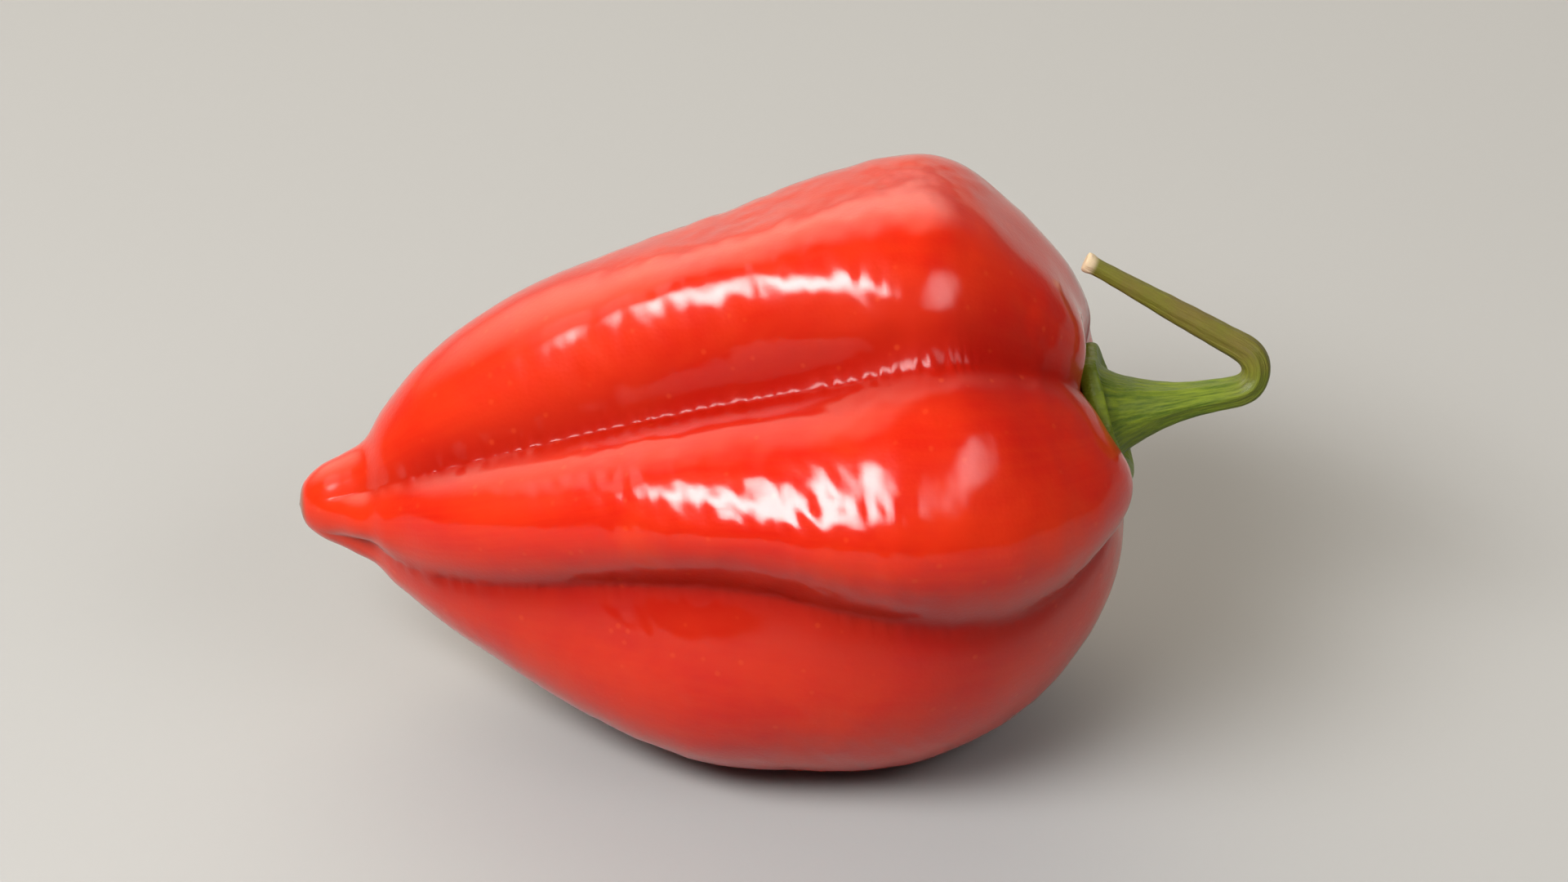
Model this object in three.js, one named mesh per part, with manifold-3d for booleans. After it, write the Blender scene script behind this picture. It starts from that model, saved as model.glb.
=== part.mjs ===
// A red habanero pepper as picked, lying on its side: the lobed fruit, and the green calyx and
// bent stem that grow out of its shoulder.
// Millimetres and degrees. +Z is up, +X runs from the pointed tip to the stem, and -Y is the
// front. The origin is the middle of the underside of the box round the whole pepper.

import * as THREE from 'three';
import { mergeVertices } from 'three/addons/utils/BufferGeometryUtils.js';
import Module from 'manifold-3d';

// Driving dimensions of the fruit
const LENGTH = 61; // from the tip to the crest of the shoulder
const TILT = 5.5; // the tip lies this much lower than level
const FLAT_DEPTH = 0.6; // pressed off the two lobes that carry the fruit
const TIP_SAG = 0.4; // the tip hangs this far below the axis
const TIP_SAG_END = 14; // along the axis
const SEAT_LIFT = 2; // the seat of the calyx stands this far above the axis
const SEAT_LIFT_START = 40; // along the axis
const SEAT_LIFT_END = 60;
const LEAN = 6; // the shoulder leans back over the top by this angle
const SHOULDER_START = 44; // where the shoulder begins to turn in
const SHOULDER_END = 59;
const SEAT_RADIUS = 4; // the lobes run together at the shoulder about this far out from the axis
const FURROW_START = 1; // the furrows grow out of the tip between these two places
const FURROW_FULL = 12;
const FURROW_FADE_START = 34; // from here to the shoulder the furrows grow shallower
const FURROW_FADE = 0.6;
const CREASE = 1.1; // 1 gives valleys as round as the lobes, and more gives wider ones
const CREASE_ROUND = 0.06; // the bottom of a furrow is rounded over this share of a lobe
const SKEW_START = 10; // the lobes grow skew between these two places
const SKEW_FULL = 38;
const NECK_PLACE = 4.7; // the neck behind the tip, along the axis
const NECK_SPREAD = 2;
const NOTCH = 8; // how far a furrow as deep as the radius would set back the shoulder
const BULGE_START = 8; // a lobe's extra girth grows between these two places
const BULGE_FULL = 30;

// Half of the fruit's outline, as [along the axis, out from it], from the tip to the seat
const OUTLINE = [
  [0, 0], [0.4, 1.5], [1.7, 2.7], [3.6, 3.5], [5.3, 4.4], [7, 6.7], [10.5, 10.3], [17, 14.4],
  [25, 17.7], [33, 20.6], [41, 22.8], [47, 22.8], [52.5, 20.8], [57.2, 16.4], [60.2, 11.6],
  [LENGTH, 8.4], [60.2, 5.4], [59.1, 2.6], [58.8, 0],
];

// Furrows, going round from the front downwards. Angle 0 faces the front and 90 faces up. Drift
// turns the furrow on its way to the shoulder, and bow bends it to one side midway. Depth is a
// share of the radius. The rest belongs to the lobe between this furrow and the next: bulge is
// its extra girth and swell its extra girth round one place, both as a share of the radius.
// Reach is how far its shoulder stands forward, skew moves its crown towards the next furrow, and
// neck fills the neck, as a share of the radius. The second and third lobes carry the fruit.
const FURROWS = [
  { angle: 36, drift: 10, bow: 7, depth: 0.24, bulge: 0.06, swell: 0, reach: 2, skew: 0.16, neck: 0.32 },
  { angle: -29, drift: 0, bow: 30, depth: 0.12, bulge: 0.01, swell: 0.15, reach: -0.8, skew: 0, neck: 0.13 },
  { angle: -90, drift: 0, bow: 0, depth: 0.09, bulge: 0.01, swell: 0.14, reach: -0.4, skew: 0, neck: 0 },
  { angle: -160, drift: -6, bow: 4, depth: 0.16, bulge: 0.03, swell: 0, reach: -1.6, skew: 0, neck: 0 },
  { angle: -222, drift: 4, bow: -4, depth: 0.12, bulge: 0.02, swell: 0, reach: -0.6, skew: 0.28, neck: 0 },
];
const SWELL_PLACE = 27; // along the axis
const SWELL_SPREAD = 11;

// Driving dimensions of the calyx and stem
const CALYX_RADIUS = 5.7; // to the corners of its rim
const CALYX_CORNERS = 6;
const CALYX_ROUND = 2.8; // within this radius it is still round
const CALYX_CORNERED = 4.8; // past this one it has its full corners
const CALYX_LEAN = 9; // the rim leans back over the top by this angle, with the shoulder
const STEM_REACH = 11; // straight part, from the seat to the elbow
const ELBOW_LENGTH = 5.4; // along the middle of the bend
const STEM_END = 29.5; // from the seat to the cut end, along the stem
const STEM_OUT = { rise: 9, bearing: 3 }; // direction before the elbow
const STEM_BACK = { rise: 25.5, bearing: 169 }; // direction after it
const STEM_STEP = 0.1; // between the frames along its middle line
const GAP = 0.3; // between the skin and the calyx

// Half of the outline of the calyx and stem, as [along the stem, out from it]. The first part
// is the underside of the calyx, which is cut to the skin.
const STEM_OUTLINE = [
  [-1.5, 0], [-1.3, 2.6], [0.2, 4.8], [1.5, CALYX_RADIUS], [2.2, CALYX_RADIUS - 0.2],
  [2.1, 4.7], [1.9, 3.7], [2.4, 3], [3.4, 2.5], [5.4, 1.8], [7.4, 1.35], [9.6, 1.15],
  [11.4, 1.1], [13.2, 1.1], [15, 1.08], [16.8, 1], [22, 0.86], [27, 0.66], [28.7, 0.64],
  [29.2, 0.74], [STEM_END, 0.66], [STEM_END, 0],
];

// How finely the solids are drawn
const COLUMNS_PER_LOBE = 13;
const ROWS_PER_POINT = 3;
const STEM_COLUMNS = 24;
const STEM_ROWS_PER_POINT = 3;
const WELD = 1e-4; // points closer than this are one

const GROUND_THICKNESS = 10; // of the block that presses the flats
const RED_SKIN = { color: 0xd8260f, roughness: 0.28, metalness: 0 };
const GREEN_STEM = { color: 0x8fae3c, roughness: 0.6, metalness: 0 };

const { degToRad, lerp, smoothstep } = THREE.MathUtils;

// A smooth outline through a few points
function smoothOutline(points, rowsPerPoint) {
  const corners = points.map(([along, out]) => new THREE.Vector3(along, out, 0));
  const curve = new THREE.CatmullRomCurve3(corners);
  return curve.getPoints((points.length - 1) * rowsPerPoint)
    .map(({ x, y }) => [x, Math.max(y, 0)]);
}

// An outline turned into a closed skin. place(along, out, turn) says where each of its points
// goes, with turn running once round from 0 to 1.
function turned(outline, columns, place) {
  const profile = outline.map(([along, out]) => new THREE.Vector2(out, along));
  const geometry = new THREE.LatheGeometry(profile, columns);
  const { position, uv } = geometry.attributes;
  for (let i = 0; i < position.count; i += 1) {
    const [along, out] = outline[Math.round(uv.getY(i) * (outline.length - 1))];
    const point = place(along, out, uv.getX(i) % 1);
    position.setXYZ(i, point.x, point.y, point.z);
  }
  geometry.deleteAttribute('normal');
  geometry.deleteAttribute('uv');
  const merged = mergeVertices(geometry, WELD);
  const corners = merged.index.array;
  const kept = [];
  for (let i = 0; i < corners.length; i += 3) {
    const [a, b, c] = corners.slice(i, i + 3);
    if (a !== b && b !== c && c !== a) kept.push(a, b, c);
  }
  merged.setIndex(kept);
  merged.computeVertexNormals();
  return merged;
}

// Solids for cutting, and back
const wasm = await Module();
wasm.setup();

function solidOf(geometry) {
  const vertProperties = new Float32Array(geometry.attributes.position.array);
  const triVerts = new Uint32Array(geometry.index.array);
  return new wasm.Manifold(new wasm.Mesh({ numProp: 3, vertProperties, triVerts }));
}

function geometryOf(solid) {
  const { vertProperties, triVerts } = solid.getMesh();
  const geometry = new THREE.BufferGeometry();
  geometry.setAttribute('position', new THREE.BufferAttribute(vertProperties, 3));
  geometry.setIndex(new THREE.BufferAttribute(triVerts, 1));
  geometry.computeVertexNormals();
  return geometry;
}

function block(width, depth, height) {
  const geometry = new THREE.BoxGeometry(width, depth, height);
  geometry.deleteAttribute('normal');
  geometry.deleteAttribute('uv');
  return mergeVertices(geometry);
}

// How high a lobe stands, from 0 in a furrow to 1 on its crown
function crownHeight(across, skew) {
  const place = across - skew * Math.sin(Math.PI * across) ** 2;
  const low = CREASE_ROUND ** CREASE;
  const height = Math.hypot(Math.sin(Math.PI * place), CREASE_ROUND) ** CREASE;
  return (height - low) / (1 - low);
}

// The fruit's skin, in its own frame: the axis is X, with the tip at zero
function skinPoint(along, out, turn) {
  const lobe = Math.floor(turn * FURROWS.length);
  const across = turn * FURROWS.length - lobe;
  const near = FURROWS[lobe];
  const far = FURROWS[(lobe + 1) % FURROWS.length];
  const lap = lobe + 1 === FURROWS.length ? 360 : 0;
  const run = along / LENGTH;
  const furrowAngle = ({ angle, drift, bow }) => angle + drift * run + bow * Math.sin(Math.PI * run);
  const angle = degToRad(lerp(furrowAngle(near), furrowAngle(far) - lap, across));

  const crown = crownHeight(across, near.skew * smoothstep(along, SKEW_START, SKEW_FULL));
  const depth = lerp(near.depth, far.depth, smoothstep(across, 0, 1));
  const shoulder = smoothstep(along, SHOULDER_START, SHOULDER_END);
  const fade = FURROW_FADE * smoothstep(along, FURROW_FADE_START, SHOULDER_END);
  const furrow = smoothstep(along, FURROW_START, FURROW_FULL) * (1 - fade);
  const girth = smoothstep(along, BULGE_START, BULGE_FULL);
  const swell = near.swell * Math.exp(-(((along - SWELL_PLACE) / SWELL_SPREAD) ** 2));
  const neck = near.neck * Math.exp(-(((along - NECK_PLACE) / NECK_SPREAD) ** 2));
  const relief = (near.bulge * girth + swell + neck) * crown - depth * furrow * (1 - crown);
  const radius = out * (1 + relief);

  const rim = shoulder * out / (out + SEAT_RADIUS);
  const lean = Math.tan(degToRad(LEAN)) * radius * Math.sin(angle) * shoulder;
  const forward = rim * (near.reach * crown - NOTCH * depth * (1 - crown));
  const sag = SEAT_LIFT * smoothstep(along, SEAT_LIFT_START, SEAT_LIFT_END)
    - TIP_SAG * (1 - smoothstep(along, 0, TIP_SAG_END));
  return new THREE.Vector3(
    along - lean + forward,
    -radius * Math.cos(angle),
    radius * Math.sin(angle) + sag,
  );
}

function fruitSkin() {
  const outline = smoothOutline(OUTLINE, ROWS_PER_POINT);
  const skin = turned(outline, FURROWS.length * COLUMNS_PER_LOBE, skinPoint);
  skin.rotateY(-degToRad(TILT));
  return skin;
}

// The stem's middle line: straight, then round the elbow, then straight to the cut end
function direction({ rise, bearing }) {
  const up = degToRad(rise);
  const round = degToRad(bearing);
  return new THREE.Vector3(Math.cos(up) * Math.cos(round), Math.cos(up) * Math.sin(round), Math.sin(up));
}

function stemFrames(base) {
  const outward = direction(STEM_OUT);
  const back = direction(STEM_BACK);
  const turn = outward.angleTo(back);
  const side = outward.clone().cross(back).normalize();
  const frames = [];
  const place = base.clone();
  for (let along = 0; along <= STEM_END + STEM_STEP; along += STEM_STEP) {
    const bend = smoothstep(along, STEM_REACH, STEM_REACH + ELBOW_LENGTH);
    const heading = outward.clone().applyAxisAngle(side, turn * bend);
    frames.push({ place: place.clone(), heading, side, inner: heading.clone().cross(side) });
    place.addScaledVector(heading, STEM_STEP);
  }
  return (along) => {
    const nearest = Math.max(0, Math.round(along / STEM_STEP));
    const frame = frames[nearest];
    const rest = along - nearest * STEM_STEP;
    return { ...frame, place: frame.place.clone().addScaledVector(frame.heading, rest) };
  };
}

// The rim of the calyx has blunt corners with straight sides between them
function cornered(turn) {
  const side = 1 / CALYX_CORNERS;
  const off = (turn % side) - side / 2;
  return Math.cos(Math.PI / CALYX_CORNERS) / Math.cos(2 * Math.PI * off);
}

function calyxAndStem(base) {
  const frameAt = stemFrames(base);
  const outline = smoothOutline(STEM_OUTLINE, STEM_ROWS_PER_POINT);
  return turned(outline, STEM_COLUMNS, (along, out, turn) => {
    const frame = frameAt(along);
    const angle = 2 * Math.PI * turn;
    const rim = smoothstep(out, CALYX_ROUND, CALYX_CORNERED);
    const spoke = frame.side.clone().multiplyScalar(Math.cos(angle))
      .addScaledVector(frame.inner, Math.sin(angle))
      .multiplyScalar(out * lerp(1, cornered(turn), rim));
    const lean = Math.tan(degToRad(CALYX_LEAN)) * spoke.z * rim;
    return frame.place.add(spoke).addScaledVector(frame.heading, -lean);
  });
}

// The skin moved out by a gap, which cuts the underside of the calyx
function grown(geometry, by) {
  const bigger = geometry.clone();
  const { position, normal } = bigger.attributes;
  const point = new THREE.Vector3();
  const out = new THREE.Vector3();
  for (let i = 0; i < position.count; i += 1) {
    point.fromBufferAttribute(position, i);
    out.fromBufferAttribute(normal, i);
    point.addScaledVector(out, by);
    position.setXYZ(i, point.x, point.y, point.z);
  }
  return bigger;
}

const skin = fruitSkin();
skin.computeBoundingBox();
const lift = -(skin.boundingBox.min.z + FLAT_DEPTH);
skin.translate(0, 0, lift);

const sideways = new THREE.Vector3(0, 1, 0);
const seat = skinPoint(...OUTLINE.at(-1), 0).applyAxisAngle(sideways, -degToRad(TILT));
seat.z += lift;

const ground = block(2 * LENGTH, 2 * LENGTH, GROUND_THICKNESS);
ground.translate(LENGTH / 2, 0, -GROUND_THICKNESS / 2);

const fruit = new THREE.Mesh(
  geometryOf(solidOf(skin).subtract(solidOf(ground))),
  new THREE.MeshStandardMaterial(RED_SKIN),
);
fruit.name = 'fruit';

const stem = new THREE.Mesh(
  geometryOf(solidOf(calyxAndStem(seat)).subtract(solidOf(grown(skin, GAP)))),
  new THREE.MeshStandardMaterial(GREEN_STEM),
);
stem.name = 'calyx_and_stem';

const pepper = new THREE.Group();
pepper.add(fruit, stem);
const middle = new THREE.Box3().setFromObject(pepper).getCenter(new THREE.Vector3());
pepper.position.set(-middle.x, -middle.y, 0);

export default pepper;
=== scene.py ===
# %% [markdown]
# # A red habanero pepper, as picked
# This notebook gives one habanero pepper its looks. The pepper lies on its side, its pointed tip
# to the left. It has two pieces: the lobed red fruit, and the green calyx and stem that grow out
# of its shoulder as one organ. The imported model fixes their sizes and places, and each piece made
# here stands for one of its two solids.
#
# The shapes are modelled in millimetres, because a pepper is small, and each piece is turned into
# metres as its last step.

# %% Load the frame
from math import atan2, cos, exp, hypot, pi, radians, sin, tan

import bmesh
import bpy
from mathutils import Matrix, Vector, noise
from mathutils.bvhtree import BVHTree
from mathutils.geometry import interpolate_bezier


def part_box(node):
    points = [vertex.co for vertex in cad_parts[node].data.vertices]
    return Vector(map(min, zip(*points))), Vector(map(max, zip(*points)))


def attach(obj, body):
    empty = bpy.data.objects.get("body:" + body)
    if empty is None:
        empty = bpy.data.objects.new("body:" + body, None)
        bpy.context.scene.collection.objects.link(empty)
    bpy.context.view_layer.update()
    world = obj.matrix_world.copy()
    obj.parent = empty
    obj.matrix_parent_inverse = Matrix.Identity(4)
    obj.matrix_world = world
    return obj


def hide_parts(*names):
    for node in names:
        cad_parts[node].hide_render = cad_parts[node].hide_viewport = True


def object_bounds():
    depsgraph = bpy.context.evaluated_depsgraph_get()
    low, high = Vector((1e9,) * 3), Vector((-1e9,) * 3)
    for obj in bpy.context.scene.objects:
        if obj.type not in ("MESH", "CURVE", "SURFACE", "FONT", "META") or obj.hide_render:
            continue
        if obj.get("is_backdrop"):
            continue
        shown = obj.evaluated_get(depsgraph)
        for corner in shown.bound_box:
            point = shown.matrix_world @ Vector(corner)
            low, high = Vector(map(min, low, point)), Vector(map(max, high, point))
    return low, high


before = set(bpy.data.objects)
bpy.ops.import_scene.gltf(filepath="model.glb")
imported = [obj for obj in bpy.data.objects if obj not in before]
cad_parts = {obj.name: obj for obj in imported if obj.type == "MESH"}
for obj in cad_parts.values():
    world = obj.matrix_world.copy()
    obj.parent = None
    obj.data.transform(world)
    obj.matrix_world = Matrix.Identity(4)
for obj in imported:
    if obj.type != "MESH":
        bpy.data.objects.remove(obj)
cad_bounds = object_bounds()
MM = 0.001
print("nodes:", sorted(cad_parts))
print("box in mm:", [[round(c / MM, 2) for c in corner] for corner in cad_bounds])

# %% [markdown]
# ## The outline of the fruit
# Half of the fruit's outline runs from the tip, out over the widest place and round the shoulder,
# down into the dish where the calyx sits. It could be drawn with hundreds of points. A few points
# with a smooth curve through them say the same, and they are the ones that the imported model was
# made from, so the fine skin lies where its solid does. The curve is a Catmull-Rom curve, which
# passes through every point, and each stretch of it is handed to Blender as a Bezier stretch.

# %% Driving dimensions of the fruit
LENGTH = 61  # from the tip to the crest of the shoulder
TILT = 5.5  # degrees that the tip lies lower than level
TIP_SAG = 0.4  # the tip hangs this far below the axis
TIP_SAG_END = 14
SEAT_LIFT = 2  # the seat of the calyx stands this far above the axis
SEAT_LIFT_START = 40
SEAT_LIFT_END = 60
LEAN = 6  # degrees that the shoulder leans back over the top
SHOULDER_START = 44
SHOULDER_END = 59
SEAT_RADIUS = 4  # the lobes run together at the shoulder about this far out from the axis
OUTLINE = [
    (0, 0), (0.4, 1.5), (1.7, 2.7), (3.6, 3.5), (5.3, 4.4), (7, 6.7), (10.5, 10.3), (17, 14.4),
    (25, 17.7), (33, 20.6), (41, 22.8), (47, 22.8), (52.5, 20.8), (57.2, 16.4), (60.2, 11.6),
    (LENGTH, 8.4), (60.2, 5.4), (59.1, 2.6), (58.8, 0),
]


# %% A smooth line through a few points
def smooth_line(points, step):
    """Points about one step apart on the smooth curve through the given ones."""
    knots = [Vector((along, out, 0)) for along, out in points]
    knots = [2 * knots[0] - knots[1]] + knots + [2 * knots[-1] - knots[-2]]
    line = [knots[1]]
    for before, start, end, after in zip(knots, knots[1:], knots[2:], knots[3:]):
        near, here, far = [(b - a).length ** 0.5
                           for a, b in ((before, start), (start, end), (end, after))]
        leave = (start - before) / near - (end - before) / (near + here) + (end - start) / here
        arrive = (end - start) / here - (after - start) / (here + far) + (after - end) / far
        count = max(2, round((end - start).length / step))
        stretch = interpolate_bezier(
            start, start + leave * here / 3, end - arrive * here / 3, end, count + 1)
        line += stretch[1:]
    return [(point.x, max(point.y, 0)) for point in line]


ROW_STEP = 0.35
fruit_line = smooth_line(OUTLINE, ROW_STEP)
print("fruit outline:", len(OUTLINE), "points, drawn as", len(fruit_line))

# %% [markdown]
# ## The lobes
# A habanero is a ring of lobes that meet in furrows. The furrows aren't straight: each turns and
# bows on its way from the tip to the shoulder, and each lobe has its own girth. Sculpting could
# give that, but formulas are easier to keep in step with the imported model: they say where the
# furrows run, and how far each point between two of them stands out from the axis.

# %% The furrows, and the lobe that follows each
# Angle 0 faces the front and 90 faces up, in degrees. Drift turns the furrow on its way to the
# shoulder, and bow bends it midway. Depth is a share of the radius. The rest belongs to the lobe
# between this furrow and the next: bulge and swell are its extra girth, everywhere and round one
# place. Reach is how far its shoulder stands forward, skew moves its crown towards the next
# furrow, and neck fills the neck behind the tip.
FURROWS = [
    dict(angle=36, drift=10, bow=7, depth=0.24, bulge=0.06, swell=0, reach=2, skew=0.16, neck=0.32),
    dict(angle=-29, drift=0, bow=30, depth=0.12, bulge=0.01, swell=0.15, reach=-0.8, skew=0, neck=0.13),
    dict(angle=-90, drift=0, bow=0, depth=0.09, bulge=0.01, swell=0.14, reach=-0.4, skew=0, neck=0),
    dict(angle=-160, drift=-6, bow=4, depth=0.16, bulge=0.03, swell=0, reach=-1.6, skew=0, neck=0),
    dict(angle=-222, drift=4, bow=-4, depth=0.12, bulge=0.02, swell=0, reach=-0.6, skew=0.28, neck=0),
]
FURROW_START, FURROW_FULL = 1, 12
FURROW_FADE_START, FURROW_FADE = 34, 0.6
CREASE = 1.1  # 1 gives valleys as round as the lobes, and more gives wider ones
CREASE_ROUND = 0.06  # the bottom of a furrow is rounded over this share of a lobe
SKEW_START, SKEW_FULL = 10, 38
NECK_PLACE, NECK_SPREAD = 4.7, 2
NOTCH = 8
BULGE_START, BULGE_FULL = 8, 30
SWELL_PLACE, SWELL_SPREAD = 27, 11


def mix(a, b, share):
    return a + (b - a) * share


def smoothstep(value, start, end):
    share = min(max((value - start) / (end - start), 0), 1)
    return share * share * (3 - 2 * share)


def crown_height(across, skew):
    """0 in a furrow and 1 on the crown of a lobe."""
    low = CREASE_ROUND ** CREASE
    place = across - skew * sin(pi * across) ** 2
    return ((sin(pi * place) ** 2 + CREASE_ROUND ** 2) ** (CREASE / 2) - low) / (1 - low)


def furrow_angle(furrow, along):
    run = along / LENGTH
    return furrow["angle"] + furrow["drift"] * run + furrow["bow"] * sin(pi * run)


def skin_point(along, out, turn):
    """A place on the skin. Turn runs once round the fruit from 0 to 1."""
    lobe = int(turn * len(FURROWS)) % len(FURROWS)
    across = turn * len(FURROWS) - lobe
    near, far = FURROWS[lobe], FURROWS[(lobe + 1) % len(FURROWS)]
    lap = 360 if lobe + 1 == len(FURROWS) else 0
    angle = radians(mix(furrow_angle(near, along), furrow_angle(far, along) - lap, across))

    crown = crown_height(across, near["skew"] * smoothstep(along, SKEW_START, SKEW_FULL))
    depth = mix(near["depth"], far["depth"], smoothstep(across, 0, 1))
    shoulder = smoothstep(along, SHOULDER_START, SHOULDER_END)
    fade = FURROW_FADE * smoothstep(along, FURROW_FADE_START, SHOULDER_END)
    furrow = smoothstep(along, FURROW_START, FURROW_FULL) * (1 - fade)
    girth = smoothstep(along, BULGE_START, BULGE_FULL)
    swell = near["swell"] * exp(-(((along - SWELL_PLACE) / SWELL_SPREAD) ** 2))
    neck = near["neck"] * exp(-(((along - NECK_PLACE) / NECK_SPREAD) ** 2))
    relief = (near["bulge"] * girth + swell + neck) * crown - depth * furrow * (1 - crown)
    radius = out * (1 + relief)

    rim = shoulder * out / (out + SEAT_RADIUS)
    lean = tan(radians(LEAN)) * radius * sin(angle) * shoulder
    forward = rim * (near["reach"] * crown - NOTCH * depth * (1 - crown))
    sag = (SEAT_LIFT * smoothstep(along, SEAT_LIFT_START, SEAT_LIFT_END)
           - TIP_SAG * (1 - smoothstep(along, 0, TIP_SAG_END)))
    return Vector((along - lean + forward, -radius * cos(angle), radius * sin(angle) + sag))


# %% [markdown]
# ## Spin the outline into a skin
# The fruit has no seam, so the outline is spun a full turn with its ends merged, and then every
# point of the round skin moves to its place among the lobes. A spun skin is round in even steps,
# but the creases need more points than the crowns, so the steps are bunched towards the furrows.
# Each point also keeps what the material wants to know later: how near it lies to a furrow, how
# far it is from the tip, and a place in a straightened fruit, along which the veins run.

# %% Spin
COLUMNS_PER_LOBE = 70
BUNCHING = 0.3  # 0 spaces the points of a lobe evenly
WELD = 1e-4


def spun(line, columns):
    """The outline turned about X into a closed skin, facing outwards."""
    bm = bmesh.new()
    corners = [bm.verts.new((along, -out, 0)) for along, out in line]
    edges = [bm.edges.new(pair) for pair in zip(corners, corners[1:])]
    bmesh.ops.spin(bm, geom=corners + edges, cent=(0, 0, 0), axis=(1, 0, 0), angle=2 * pi,
                   steps=columns, use_merge=True, use_duplicate=False)
    bmesh.ops.remove_doubles(bm, verts=bm.verts, dist=WELD)
    bmesh.ops.recalc_face_normals(bm, faces=bm.faces)
    return bm


def round_place(co):
    """Along the axis, out from it, and the turn round it of a point of a spun skin."""
    return co.x, hypot(co.y, co.z), (-atan2(co.z, -co.y) / (2 * pi)) % 1


def bunched(turn):
    lobes = turn * len(FURROWS)
    lobe = int(lobes) % len(FURROWS)
    across = lobes - int(lobes)
    return (lobe + across - BUNCHING * sin(2 * pi * across) / (2 * pi)) / len(FURROWS)


skin = spun(fruit_line, COLUMNS_PER_LOBE * len(FURROWS))
print("spun skin:", len(skin.verts), "points,", len(skin.faces), "faces")

# %% Move the points to the lobes
NEAR_FURROW = 0.16  # share of a lobe that the shade of a furrow reaches
GRAIN_LENGTH = 8  # veins are this many times as long as they would be wide
GRAIN_RADIUS = 20

crease_layer = skin.verts.layers.float.new("crease")
along_layer = skin.verts.layers.float.new("along")
grain_layer = skin.verts.layers.float_vector.new("grain")
places = {}
for point in skin.verts:
    along, out, turn = round_place(point.co)
    turn = bunched(turn)
    across = turn * len(FURROWS) % 1
    off = min(across, 1 - across)
    places[point] = (along, out, turn, off)
    furrow_here = smoothstep(along, FURROW_START, FURROW_FULL)
    point[crease_layer] = exp(-((off / NEAR_FURROW) ** 2)) * furrow_here
    point[along_layer] = along / LENGTH
    around = 2 * pi * turn
    point[grain_layer] = (along / GRAIN_LENGTH, GRAIN_RADIUS * cos(around), GRAIN_RADIUS * sin(around))
    point.co = skin_point(along, out, turn)
bmesh.ops.rotate(skin, cent=(0, 0, 0), matrix=Matrix.Rotation(-radians(TILT), 3, "Y"),
                 verts=skin.verts)
skin.normal_update()


# %% Put it where its solid is
def box_of(bm):
    lows = Vector([min(v.co[axis] for v in bm.verts) for axis in range(3)])
    highs = Vector([max(v.co[axis] for v in bm.verts) for axis in range(3)])
    return lows, highs


fruit_box = [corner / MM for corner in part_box("fruit")]
low, high = box_of(skin)
to_frame = (fruit_box[0] + fruit_box[1] - low - high) / 2
to_frame.z = fruit_box[1].z - high.z
bmesh.ops.translate(skin, vec=to_frame, verts=skin.verts)
print("lowest point before the flats are pressed:", round(low.z + to_frame.z, 2), "mm")

# %% [markdown]
# ## The fine relief of the skin
# The skin is taut and waxy, but never smooth. Each lobe has low knuckles and shallow dips, up to
# a third of a millimetre high, which decide where a highlight falls. Faint folds run round the
# fruit and break the highlights into ragged patches. Along each furrow the skin is gathered, as
# by a thread, into a row of small puckers. A bump in the material could fake them, but the clear
# wax reflects the true surface, so here they are real relief.

# %% Knuckles, folds, swells and puckers
# Where a lobe swells or dips, in millimetres along the axis and as a share across the lobe.
# Length and width are how far it spreads both ways, and a dip has a height below zero.
KNUCKLES = [
    dict(lobe=0, along=19.5, across=0.4, length=4, width=0.35, height=-0.2),
    dict(lobe=0, along=30, across=0.42, length=7, width=0.3, height=0.3),
    dict(lobe=0, along=33, across=0.53, length=11, width=0.1, height=-0.24),
    dict(lobe=0, along=42.5, across=0.14, length=5, width=0.15, height=-0.25),
    dict(lobe=0, along=44, across=0.3, length=4.5, width=0.11, height=0.3),
    dict(lobe=0, along=52, across=0.33, length=5, width=0.25, height=0.2),
    dict(lobe=4, along=25, across=0.66, length=9, width=0.09, height=0.2),
    dict(lobe=4, along=45, across=0.88, length=10, width=0.07, height=0.33),
    dict(lobe=4, along=30, across=0.7, length=7, width=0.05, height=0.12),
    dict(lobe=4, along=43, across=0.8, length=8, width=0.05, height=0.14),
    dict(lobe=4, along=22, across=0.4, length=9, width=0.25, height=0.2),
]
# Where the wrinkles are stronger. Their heights are added to the patches of wrinkles.
RUFFLES = [
    dict(lobe=0, along=36, across=0.48, length=10, width=0.18, height=1.2),
    dict(lobe=4, along=36, across=0.77, length=14, width=0.12, height=0.7),
]
MARK_FADE = 0.12  # the marks fade over this share of a lobe on their way to a furrow
SWELL_HEIGHT, SWELLS_PER_MM = 0.2, 0.085
FOLD_HEIGHT = 0.09
FOLDS_PER_MM = Vector((0.42, 0.16, 0.16))  # closer along the axis, so that they run round it
WRINKLE_HEIGHT = 0.085
FINE_WRINKLES = 0.5  # height of the finest wrinkles, as a share of the others
PATCHES_PER_MM = 0.11
TIGHT = 0.3  # height of the folds at the tip, as a share of those on the wide part
TIGHT_END, SLACK_START = 14, 28
PUCKER_STEP = 1.25
PUCKER_HEIGHT = 0.16
PUCKER_REACH = 0.9
PUCKER_UNEVENNESS = 1.3  # how far, in steps, a pucker may stray from an even beat
FURROW_FILL = 0.1  # how much the skin rounds off the bottom of a furrow


def raised(marks, along, out, turn, off):
    """How much the marks of this lobe add up to here. They fade out at the furrows."""
    lobe = int(turn * len(FURROWS)) % len(FURROWS)
    across = turn * len(FURROWS) % 1
    total = 0
    for mark in marks:
        if mark["lobe"] == lobe:
            far = (along - mark["along"]) / mark["length"]
            aside = (across - mark["across"]) / mark["width"]
            total += mark["height"] * exp(-far * far - aside * aside)
    return total * smoothstep(off, 0, MARK_FADE)


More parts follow.
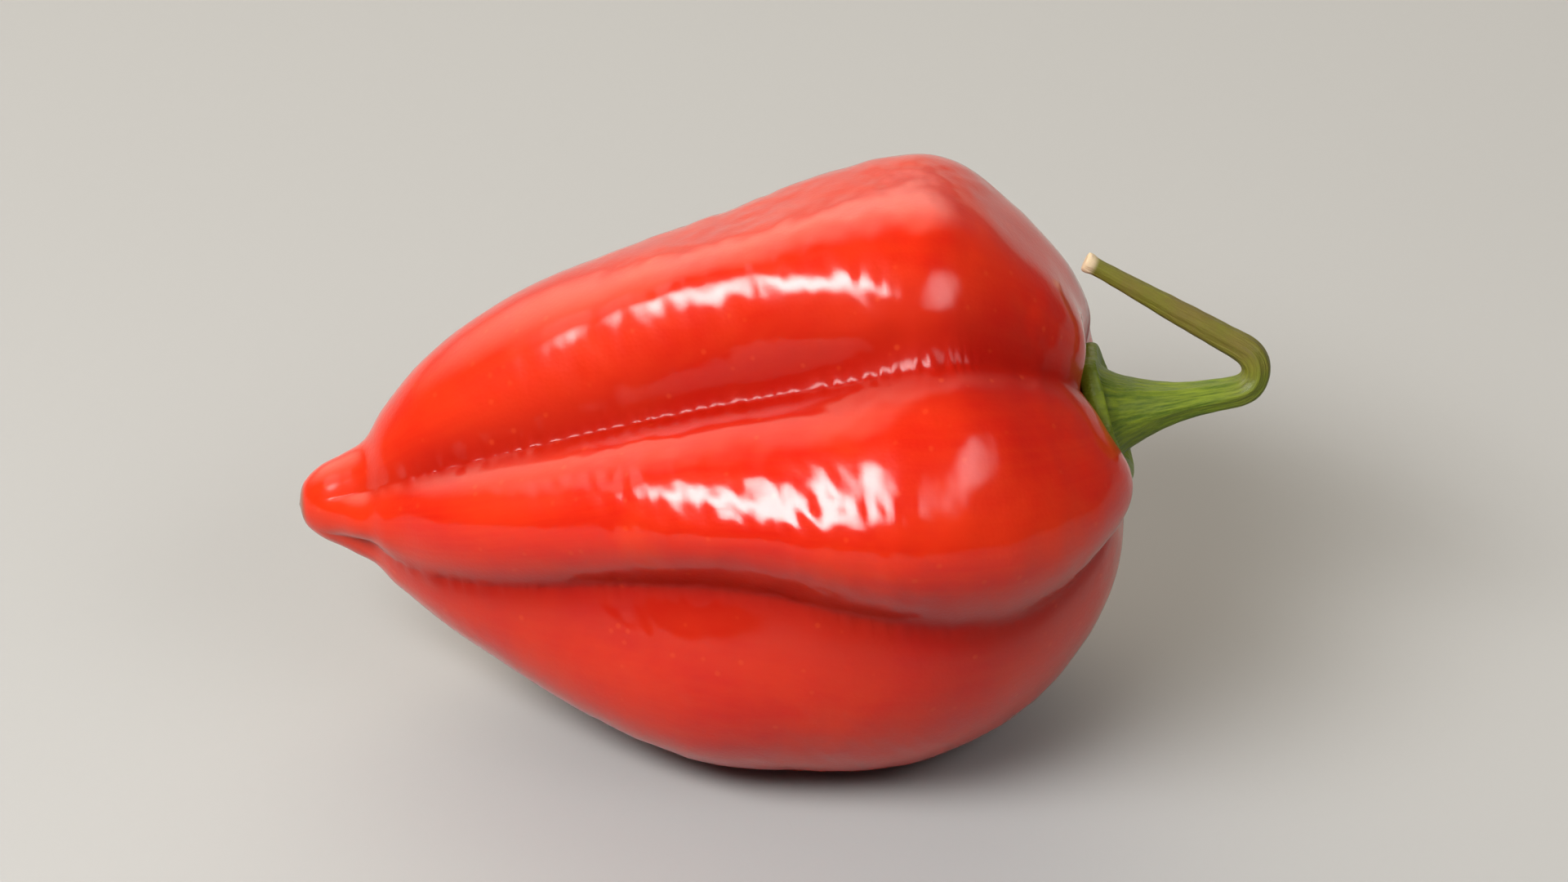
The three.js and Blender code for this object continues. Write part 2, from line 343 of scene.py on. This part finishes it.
def fold_height(place, along, ruffle):
    """Swells about 12 mm across, folds about 3 mm, and patches of wrinkles about 1 mm apart.

    The skin is tighter towards the tip, so there the folds and wrinkles are lower.
    """
    slack = mix(TIGHT, 1, smoothstep(along, TIGHT_END, SLACK_START))
    swell = noise.noise(place * SWELLS_PER_MM)
    fold = noise.noise(place * FOLDS_PER_MM)
    patch = smoothstep(noise.noise(place * PATCHES_PER_MM + Vector((7, 3, 5))), -0.2, 0.4)
    grain = Vector((place.x * 0.8 + place.z * 0.25, place.y * 0.5, place.z * 0.5))
    wrinkle = noise.noise(grain) + FINE_WRINKLES * noise.noise(grain * 2.1)
    wrinkles = WRINKLE_HEIGHT * wrinkle * (0.15 + 0.6 * patch + ruffle)
    return SWELL_HEIGHT * swell + slack * (FOLD_HEIGHT * fold + wrinkles)


def pucker_height(along, out, turn, off):
    """The rounded bottom of a furrow, with beads of gathered skin along it."""
    lobe_width = 2 * pi * out / len(FURROWS)
    aside = off * lobe_width
    if aside > 4 * PUCKER_REACH:
        return 0
    furrow = round(turn * len(FURROWS)) % len(FURROWS)
    stray = PUCKER_UNEVENNESS * noise.noise(Vector((along * 0.3, furrow * 9, 0)))
    beat = along / PUCKER_STEP + stray
    strength = 0.5 + 0.5 * noise.noise(Vector((along * 0.35, furrow * 5, 4)))
    reach = smoothstep(along, 5, 10) * (1 - smoothstep(along, 50, 56))
    beads = PUCKER_HEIGHT * strength * cos(2 * pi * beat)
    return (beads + FURROW_FILL) * reach * exp(-((aside / PUCKER_REACH) ** 2))


heights = {}
for point, place in places.items():
    folds = fold_height(point.co, place[0], raised(RUFFLES, *place))
    heights[point] = raised(KNUCKLES, *place) + folds + pucker_height(*place)
for point, height in heights.items():
    point.co += point.normal * height
print("relief from", round(min(heights.values()), 3), "to", round(max(heights.values()), 3), "mm")


# %% [markdown]
# ## Press the flats, and turn the mesh into a piece
# The pepper lies on two of its lobes, each a little flattened. Every point below the surface is
# raised to it, which presses the two flats. Then the piece is fitted to the box of its solid,
# because relief may not make the pepper any bigger.

# %% Fit and finish
def fit(bm, low, high):
    """Scales the mesh a hair, so that its box is the given one."""
    own_low, own_high = box_of(bm)
    for point in bm.verts:
        share = [(point.co[axis] - own_low[axis]) / (own_high[axis] - own_low[axis])
                 for axis in range(3)]
        point.co = [mix(low[axis], high[axis], share[axis]) for axis in range(3)]


def finished(bm, name):
    """The mesh as an object in metres, shaded smooth."""
    bmesh.ops.scale(bm, vec=(MM, MM, MM), verts=bm.verts)
    for face in bm.faces:
        face.smooth = True
    mesh = bpy.data.meshes.new(name)
    bm.normal_update()
    bm.to_mesh(mesh)
    bm.free()
    piece = bpy.data.objects.new(name, mesh)
    bpy.context.scene.collection.objects.link(piece)
    triangles = sum(len(face.vertices) - 2 for face in mesh.polygons)
    print(f"{name}: {triangles} triangles")
    return piece


for point in skin.verts:
    point.co.z = max(point.co.z, 0)
fit(skin, *fruit_box)
skin_tree = BVHTree.FromBMesh(skin)
fruit = finished(skin, "pepper_fruit")

# %% [markdown]
# ## The calyx and stem
# The calyx is the flared end of the stem. It sits in the dish of the shoulder with a blunt
# six-cornered rim that is turned up a little, so that there is a trough inside it. No two of the
# corners are quite alike. The stem leaves it straight, bends sharply back over the fruit, grows
# thinner, and ends in a small callus where it was picked. As with the fruit, an outline is spun,
# and then its points move to a middle line that goes round the elbow. Last, the underside of the
# calyx is laid on the skin that it grew from, so that no light shows between them.

# %% Driving dimensions of the calyx and stem
CALYX_RADIUS = 5.7
CALYX_CORNERS = 6
CALYX_ROUND, CALYX_CORNERED = 2.8, 4.8  # it is round within the first radius
CALYX_LEAN = 9
STEM_REACH = 11
ELBOW_LENGTH = 5.4
STEM_END = 29.5
STEM_OUT = dict(rise=9, bearing=3)
STEM_BACK = dict(rise=25.5, bearing=169)
STEM_OUTLINE = [
    (-1.5, 0), (-1.3, 2.6), (0.2, 4.8), (1.5, CALYX_RADIUS), (2.2, CALYX_RADIUS - 0.2),
    (2.1, 4.7), (1.9, 3.7), (2.4, 3), (3.4, 2.5), (5.4, 1.8), (7.4, 1.35), (9.6, 1.15),
    (11.4, 1.1), (13.2, 1.1), (15, 1.08), (16.8, 1), (22, 0.86), (27, 0.66), (28.7, 0.64),
    (29.2, 0.74), (STEM_END, 0.66), (STEM_END, 0),
]


# %% The stem's middle line
def direction(rise, bearing):
    up, round_angle = radians(rise), radians(bearing)
    return Vector((cos(up) * cos(round_angle), cos(up) * sin(round_angle), sin(up)))


LINE_STEP = 0.1
outward = direction(**STEM_OUT)
side = outward.cross(direction(**STEM_BACK)).normalized()
stem_turn = outward.angle(direction(**STEM_BACK))


def heading_at(along):
    bend = smoothstep(along, STEM_REACH, STEM_REACH + ELBOW_LENGTH)
    return Matrix.Rotation(stem_turn * bend, 3, side) @ outward


seat = skin_point(OUTLINE[-1][0], 0, 0)
seat.rotate(Matrix.Rotation(-radians(TILT), 3, "Y"))
seat += to_frame
middle_line = [seat]
for count in range(round(STEM_END / LINE_STEP)):
    middle_line.append(middle_line[-1] + heading_at(count * LINE_STEP) * LINE_STEP)
print("stem ends at", [round(c, 1) for c in middle_line[-1]])

# %% Spin its outline and walk it round the elbow
STEM_ROW_STEP = 0.17
STEM_COLUMNS = 84
RIB_COUNT = 7
RIB_HEIGHT = 0.045
CORNER_BLUNTING = 0.05  # these two are shares of the calyx's radius
RIM_WAVES = 0.08
UNDERSIDE_END = 0.6  # the outline up to here is the underside of the calyx
SKIN_REACH = 4  # how far from the underside the skin is looked for
SKIN_GAP = 0.1
RIBS_START, RIBS_FULL = 2.2, 7
RIBS_FADE_START, RIBS_FADE_END, RIBS_FADE = 16, 30, 0.4
RIB_TWIST = 0.05  # radians for each millimetre
FIBRE_LENGTH, FIBRE_RADIUS = 6, 3
UNEVENNESS = 0.03

stem_line = smooth_line(STEM_OUTLINE, STEM_ROW_STEP)
organ = spun(stem_line, STEM_COLUMNS)
along_layer = organ.verts.layers.float.new("along")
out_layer = organ.verts.layers.float.new("out")
grain_layer = organ.verts.layers.float_vector.new("grain")


def cornered(turn):
    """The rim's radius: blunt corners, no two alike, with nearly straight sides between them."""
    share = 1 / CALYX_CORNERS
    off = turn % share - share / 2
    radius = cos(pi / CALYX_CORNERS) / cos(2 * pi * off)
    blunted = radius - CORNER_BLUNTING * smoothstep(radius, 0.93, 1)
    around = Vector((cos(2 * pi * turn), sin(2 * pi * turn), 0))
    return blunted + RIM_WAVES * (noise.noise(around * 1.7) - 0.5)


for point in organ.verts:
    along, out, turn = round_place(point.co)
    nearest = min(max(round(along / LINE_STEP), 0), len(middle_line) - 1)
    heading = heading_at(nearest * LINE_STEP)
    inner = heading.cross(side)
    around = 2 * pi * turn
    rim = smoothstep(out, CALYX_ROUND, CALYX_CORNERED)
    worn = RIBS_FADE * smoothstep(along, RIBS_FADE_START, RIBS_FADE_END)
    ribbed = smoothstep(along, RIBS_START, RIBS_FULL) * (1 - worn)
    rib = RIB_HEIGHT * out * ribbed * sin(RIB_COUNT * around + RIB_TWIST * along)
    reach = out * mix(1, cornered(turn), rim) + rib
    spoke = (side * cos(around) + inner * sin(around)) * reach
    middle = middle_line[nearest] + heading * (along - nearest * LINE_STEP)
    point.co = middle + spoke - heading * tan(radians(CALYX_LEAN)) * spoke.z * rim
    point[along_layer] = along / STEM_END
    point[out_layer] = out / CALYX_RADIUS
    point[grain_layer] = (along / FIBRE_LENGTH, FIBRE_RADIUS * cos(around), FIBRE_RADIUS * sin(around))
organ.normal_update()
for point in organ.verts:
    point.co += point.normal * UNEVENNESS * noise.noise(point.co * 1.1)

# The underside of the calyx comes to rest on the skin
laid = 0
for point in organ.verts:
    if point[along_layer] * STEM_END < UNDERSIDE_END:
        hit = skin_tree.ray_cast(point.co + outward * SKIN_REACH, -outward)[0]
        if hit and (hit - point.co).dot(outward) > -SKIN_REACH:
            point.co = hit + outward * SKIN_GAP
            laid += 1
print(laid, "points of the underside laid on the skin")
stem_box = [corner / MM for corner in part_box("calyx_and_stem")]
low, high = box_of(organ)
print("moved by its fit:", [round(c, 2) for c in stem_box[0] - low + stem_box[1] - high])
fit(organ, *stem_box)
stem = finished(organ, "pepper_calyx_and_stem")

# %% [markdown]
# ## Building blocks for materials
# Both pieces are plant tissue, so they share three effects, each a shader node group: cloudy
# mottling, fibres that run the way that the plant grew, and the tiny cells of its surface. A
# group is built once, and each material sets it to its own scale.

# %% Small helpers for shader nodes
def add(tree, kind, inputs=None, **settings):
    """A node with its settings and inputs. An input is a value, or a socket to link to."""
    node = tree.nodes.new(kind)
    for name, value in settings.items():
        setattr(node, name, value)
    for name, value in (inputs or {}).items():
        if isinstance(value, bpy.types.NodeSocket):
            tree.links.new(value, node.inputs[name])
        else:
            node.inputs[name].default_value = value
    return node


def blended(tree, share, a, b):
    """Two colours mixed by a share."""
    return add(tree, "ShaderNodeMix", {0: share, 6: a, 7: b}, data_type="RGBA").outputs[2]


def ranged(tree, value, low, high, to_low=0.0, to_high=1.0):
    """A value eased from one range into another."""
    inputs = {"Value": value, "From Min": low, "From Max": high, "To Min": to_low, "To Max": to_high}
    return add(tree, "ShaderNodeMapRange", inputs, interpolation_type="SMOOTHSTEP").outputs[0]


def math(tree, operation, a, b=0.0):
    return add(tree, "ShaderNodeMath", {0: a, 1: b}, operation=operation).outputs[0]


def attribute(tree, name, output="Fac"):
    return add(tree, "ShaderNodeAttribute", attribute_name=name).outputs[output]


def rgb(red, green, blue):
    return (red, green, blue, 1)


def new_group(name, inputs, outputs):
    """An empty group with its sockets. Each is given as name: (socket type, default)."""
    group = bpy.data.node_groups.new(name, "ShaderNodeTree")
    for way, sockets in (("INPUT", inputs), ("OUTPUT", outputs)):
        for label, (kind, default) in sockets.items():
            socket = group.interface.new_socket(label, in_out=way, socket_type=kind)
            if default is not None:
                socket.default_value = default
    return group, group.nodes.new("NodeGroupInput").outputs, group.nodes.new("NodeGroupOutput").inputs


# %% Mottling, fibres and cells
def make_mottling():
    group, given, out = new_group(
        "mottling",
        {"Place": ("NodeSocketVector", None), "Scale": ("NodeSocketFloat", 100.0)},
        {"Clouds": ("NodeSocketFloat", None), "Specks": ("NodeSocketFloat", None)})
    clouds = add(group, "ShaderNodeTexNoise", {
        "Vector": given["Place"], "Scale": given["Scale"], "Detail": 4.0, "Roughness": 0.6,
        "Distortion": 0.4})
    finer = math(group, "MULTIPLY", given["Scale"], 6.0)
    cells = add(group, "ShaderNodeTexVoronoi", {"Vector": given["Place"], "Scale": finer})
    group.links.new(ranged(group, clouds.outputs[0], 0.35, 0.68), out["Clouds"])
    group.links.new(ranged(group, cells.outputs["Distance"], 0.16, 0.05), out["Specks"])
    return group


def make_fibres():
    group, given, out = new_group(
        "fibres",
        {"Grain": ("NodeSocketVector", None), "Fineness": ("NodeSocketFloat", 2.0)},
        {"Fibres": ("NodeSocketFloat", None)})
    streaks = add(group, "ShaderNodeTexNoise", {
        "Vector": given["Grain"], "Scale": given["Fineness"], "Detail": 3.0, "Roughness": 0.65})
    group.links.new(ranged(group, streaks.outputs[0], 0.3, 0.7), out["Fibres"])
    return group


def make_cells():
    group, given, out = new_group(
        "surface_cells",
        {"Place": ("NodeSocketVector", None), "Size": ("NodeSocketFloat", 2000.0)},
        {"Height": ("NodeSocketFloat", None)})
    cells = add(group, "ShaderNodeTexVoronoi", {
        "Vector": given["Place"], "Scale": given["Size"], "Smoothness": 0.6}, feature="SMOOTH_F1")
    coarser = math(group, "MULTIPLY", given["Size"], 0.3)
    waves = add(group, "ShaderNodeTexNoise", {
        "Vector": given["Place"], "Scale": coarser, "Detail": 2.0})
    group.links.new(math(group, "ADD", cells.outputs["Distance"], waves.outputs[0]), out["Height"])
    return group


effects = {"mottling": make_mottling(), "fibres": make_fibres(), "surface_cells": make_cells()}


def effect(tree, name, inputs):
    """A shared effect placed in a material, with the material's own values."""
    return add(tree, "ShaderNodeGroup", inputs, node_tree=effects[name]).outputs


def new_material(name, **settings):
    """A material with its Principled shader. The settings are the same all over the surface."""
    material = bpy.data.materials.new(name)
    material.use_nodes = True
    shader = material.node_tree.nodes["Principled BSDF"]
    for label, value in settings.items():
        shader.inputs[label.replace("_", " ")].default_value = value
    return material, material.node_tree, shader


print("effects:", sorted(effects))

# %% [markdown]
# ## The red skin
# The colour of a ripe habanero lies in the flesh under a clear wax. It is a deep orange-red on
# the crowns of the lobes, with faint lighter veins from tip to shoulder. The furrows are darkened
# to crimson as painted shade, and the tip is made more orange as a painted pool of light. A
# Principled shader carries all of it: a rather broad gloss for the flesh, a little light let into it,
# and over them a clear coat for the sharp, wet highlights. The wax is dull in the bottoms of the
# furrows, where nothing rubs it, so the coat thins out there.

# %% Skin material
CROWN_RED = rgb(0.42, 0.007, 0.0008)
ORANGE_RED = rgb(0.5, 0.022, 0.0012)
FURROW_SHADE_RED = rgb(0.22, 0.002, 0.0005)
VEIN_RED = rgb(0.52, 0.028, 0.003)
SPECK_RED = rgb(0.58, 0.075, 0.018)
SCAR_BROWN = rgb(0.16, 0.055, 0.02)

red_skin, tree, shader = new_material(
    "red_skin", IOR=1.45, Specular_IOR_Level=0.06, Coat_Roughness=0.11, Coat_IOR=1.42,
    Subsurface_Weight=0.12, Subsurface_Radius=(1.0, 0.22, 0.1), Subsurface_Scale=0.0018)
place = add(tree, "ShaderNodeTexCoord").outputs["Object"]
crease, along = attribute(tree, "crease"), attribute(tree, "along")
grain = attribute(tree, "grain", "Vector")
mottling = effect(tree, "mottling", {"Place": place, "Scale": 85.0})
fibres = effect(tree, "fibres", {"Grain": grain, "Fineness": 1.1})
cells = effect(tree, "surface_cells", {"Place": place, "Size": 3200.0})

colour = blended(tree, math(tree, "MULTIPLY", mottling["Clouds"], 0.7), CROWN_RED, ORANGE_RED)
# Painted light: the tip is blended towards a lighter orange-red, as if more brightly lit.
tip_painted_light = ranged(tree, along, 0.2, 0.0, 0.0, 0.6)
colour = blended(tree, tip_painted_light, colour, ORANGE_RED)
colour = blended(tree, math(tree, "MULTIPLY", fibres["Fibres"], 0.22), colour, VEIN_RED)
# Painted shade: the skin darkens to crimson towards the bottom of each furrow.
colour = blended(tree, math(tree, "MULTIPLY", crease, 0.75), colour, FURROW_SHADE_RED)
colour = blended(tree, math(tree, "MULTIPLY", mottling["Specks"], 0.18), colour, SPECK_RED)
scar = ranged(tree, along, 0.011, 0.004)
colour = blended(tree, math(tree, "MULTIPLY", scar, 0.8), colour, SCAR_BROWN)
tree.links.new(colour, shader.inputs["Base Color"])

roughness = ranged(tree, mottling["Clouds"], 0.0, 1.0, 0.34, 0.44)
roughness = math(tree, "ADD", roughness, math(tree, "MULTIPLY", crease, 0.05))
tree.links.new(roughness, shader.inputs["Roughness"])
furrow_bottom = math(tree, "POWER", crease, 4.0)
tree.links.new(ranged(tree, furrow_bottom, 0.0, 1.0, 0.8, 0.25), shader.inputs["Coat Weight"])
bump = add(tree, "ShaderNodeBump", {"Strength": 0.25, "Distance": 0.00004, "Height": cells["Height"]})
tree.links.new(bump.outputs[0], shader.inputs["Normal"])
fruit.data.materials.append(red_skin)
print("skin nodes:", len(tree.nodes))

# %% [markdown]
# ## The green of calyx and stem
# The stem is fibrous and satin, not glossy. It is fresh yellow-green at the calyx, with a pale
# edge to the rim, and turns olive past the elbow, where the skin is stretched and bruised. The
# cut end has dried to cream. The place along the stem, kept on each point, says where each
# colour belongs.

# %% Stem material
LEAF_GREEN = rgb(0.045, 0.08, 0.002)
YELLOW_GREEN = rgb(0.14, 0.18, 0.009)
OLIVE = rgb(0.115, 0.09, 0.01)
BRUISE = rgb(0.12, 0.07, 0.02)
CUT_CREAM = rgb(0.5, 0.38, 0.24)

green_stem, tree, shader = new_material(
    "green_stem", IOR=1.45, Specular_IOR_Level=0.25, Coat_Weight=0.08, Coat_Roughness=0.25,
    Subsurface_Weight=0.08, Subsurface_Radius=(0.5, 0.8, 0.15), Subsurface_Scale=0.0008)
place = add(tree, "ShaderNodeTexCoord").outputs["Object"]
along, out = attribute(tree, "along"), attribute(tree, "out")
grain = attribute(tree, "grain", "Vector")
mottling = effect(tree, "mottling", {"Place": place, "Scale": 320.0})
fibres = effect(tree, "fibres", {"Grain": grain, "Fineness": 2.6})
cells = effect(tree, "surface_cells", {"Place": place, "Size": 4500.0})

colour = blended(tree, fibres["Fibres"], LEAF_GREEN, YELLOW_GREEN)
past_elbow = ranged(tree, along, 0.3, 0.62, 0.0, 0.75)
colour = blended(tree, past_elbow, colour, OLIVE)
rim = math(tree, "MULTIPLY", ranged(tree, out, 0.8, 1.0), ranged(tree, along, 0.12, 0.04))
colour = blended(tree, math(tree, "MULTIPLY", rim, 0.7), colour, YELLOW_GREEN)
bruised = math(tree, "MULTIPLY", mottling["Clouds"], ranged(tree, along, 0.34, 0.5, 0.0, 0.45))
colour = blended(tree, bruised, colour, BRUISE)
colour = blended(tree, math(tree, "MULTIPLY", mottling["Specks"], 0.25), colour, YELLOW_GREEN)
colour = blended(tree, ranged(tree, along, 0.965, 0.985), colour, CUT_CREAM)
tree.links.new(colour, shader.inputs["Base Color"])
tree.links.new(ranged(tree, fibres["Fibres"], 0.0, 1.0, 0.42, 0.6), shader.inputs["Roughness"])
relief = math(tree, "ADD", cells["Height"], math(tree, "MULTIPLY", fibres["Fibres"], 2.5))
bump = add(tree, "ShaderNodeBump", {"Strength": 0.5, "Distance": 0.00005, "Height": relief})
tree.links.new(bump.outputs[0], shader.inputs["Normal"])
stem.data.materials.append(green_stem)
print("stem nodes:", len(tree.nodes))

# %% [markdown]
# ## Tie the pieces to the frame
# Each piece rides on the model's one body and stands for its solid, which is hidden.

# %% Ride and replace
for piece, node, slot in ((fruit, "fruit", "red_skin"), (stem, "calyx_and_stem", "green_stem")):
    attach(piece, "root")
    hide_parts(node)
    print(piece.name, "stands for", node)

# %% [markdown]
# ## Floor, light and camera
# The pepper lies on a plain pale floor. In the photograph a long window in front, strongest at
# the left, gives the ragged white highlight on the front lobe and the thin streak on the upper
# one, and a wide warm light behind lays a soft coral sheen over the top. Here four soft lights do
# the same: the window with two weaker parts beside it, and the wide light behind. Each fades
# towards its edges, so that the wax shows no hard-edged box.

# %% Floor
FLOOR_RADIUS = 4
FLOOR_DROP = 0.02 * MM
FLOOR_GREY = rgb(0.27, 0.267, 0.26)
floor_mesh = bmesh.new()
bmesh.ops.create_circle(floor_mesh, cap_ends=True, segments=96, radius=FLOOR_RADIUS)
bmesh.ops.translate(floor_mesh, vec=(0, 0, -FLOOR_DROP), verts=floor_mesh.verts)
mesh = bpy.data.meshes.new("floor")
floor_mesh.to_mesh(mesh)
floor_mesh.free()
floor = bpy.data.objects.new("floor", mesh)
bpy.context.scene.collection.objects.link(floor)
pale_floor, tree, shader = new_material("pale_floor", Roughness=0.7)
shader.inputs["Base Color"].default_value = FLOOR_GREY
floor.data.materials.append(pale_floor)
floor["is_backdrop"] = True

# %% Lights
middle = (cad_bounds[0] + cad_bounds[1]) / 2
FADE_START, FADE_END = 0.1, 0.5  # out from the middle of a light, as a share of its size
WARM_WHITE = (1, 0.9, 0.72)


def towards(bearing, rise):
    """A direction. Bearing 0 is the front and 90 the right, in degrees."""
    around, up = radians(bearing), radians(rise)
    return Vector((sin(around) * cos(up), -cos(around) * cos(up), sin(up)))


def soft_light(name, bearing, rise, distance, width, height, brightness):
    """A soft box that faces the pepper. Brightness is that of its middle."""
    lamp = bpy.data.lights.new(name, "AREA")
    lamp.shape = "RECTANGLE"
    lamp.size, lamp.size_y = width, height
    lamp.energy = brightness * pi * width * height
    light = bpy.data.objects.new(name, lamp)
    back = towards(bearing, rise)
    light.location = middle + back * distance
    light.rotation_euler = back.to_track_quat("Z", "Y").to_euler()
    light.visible_camera = False
    lamp.use_nodes = True
    tree = lamp.node_tree
    place = add(tree, "ShaderNodeNewGeometry").outputs["Parametric"]
    off = add(tree, "ShaderNodeVectorMath", {0: place, 1: (0.5, 0.5, 0)}, operation="DISTANCE")
    glow = ranged(tree, off.outputs["Value"], FADE_END, FADE_START)
    tree.links.new(glow, tree.nodes["Emission"].inputs["Strength"])
    bpy.context.scene.collection.objects.link(light)
    return lamp


soft_light("window", bearing=-44, rise=46, distance=0.6, width=0.74, height=0.3, brightness=34)
soft_light("window_left", bearing=-100, rise=42, distance=0.8, width=0.6, height=0.25, brightness=2)
soft_light("window_right", bearing=50, rise=42, distance=0.8, width=1, height=0.4, brightness=6)
behind = soft_light("behind", bearing=-165, rise=38, distance=1.1, width=3, height=2.1, brightness=2.7)
behind.color = WARM_WHITE
world = bpy.data.worlds.new("pale_room")
world.use_nodes = True
world.node_tree.nodes["Background"].inputs["Color"].default_value = rgb(0.92, 0.93, 0.95)
world.node_tree.nodes["Background"].inputs["Strength"].default_value = 0.14
bpy.context.scene.world = world

# %% Camera
CAMERA_RISE = 32.5
CAMERA_DISTANCE = 1.2
SHARE_OF_WIDTH = 0.62  # of the picture, that the pepper takes up
SENSOR = 36

camera_data = bpy.data.cameras.new("camera")
camera_data.sensor_width = SENSOR
pepper_length = cad_bounds[1].x - cad_bounds[0].x
camera_data.lens = SENSOR * CAMERA_DISTANCE * SHARE_OF_WIDTH / pepper_length
camera = bpy.data.objects.new("camera", camera_data)
camera.location = middle + towards(0, CAMERA_RISE) * CAMERA_DISTANCE
camera.rotation_euler = towards(0, CAMERA_RISE).to_track_quat("Z", "Y").to_euler()
bpy.context.scene.collection.objects.link(camera)
bpy.context.scene.camera = camera
bpy.context.scene.view_settings.view_transform = "Standard"
print("lens:", round(camera_data.lens), "mm")

# %% [markdown]
# ## Show the size
# The pepper should keep the size of the imported model, so the box of the imported model and the box of
# what is shown now are printed side by side. Blender may not change the pepper's size.

# %% Print the sizes and finish
boxes = {"cad": cad_bounds, "visual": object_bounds()}
sizes = {name: [list(corner) for corner in box] for name, box in boxes.items()}
for name, box in sizes.items():
    print(name, [[round(c / MM, 2) for c in corner] for corner in box])
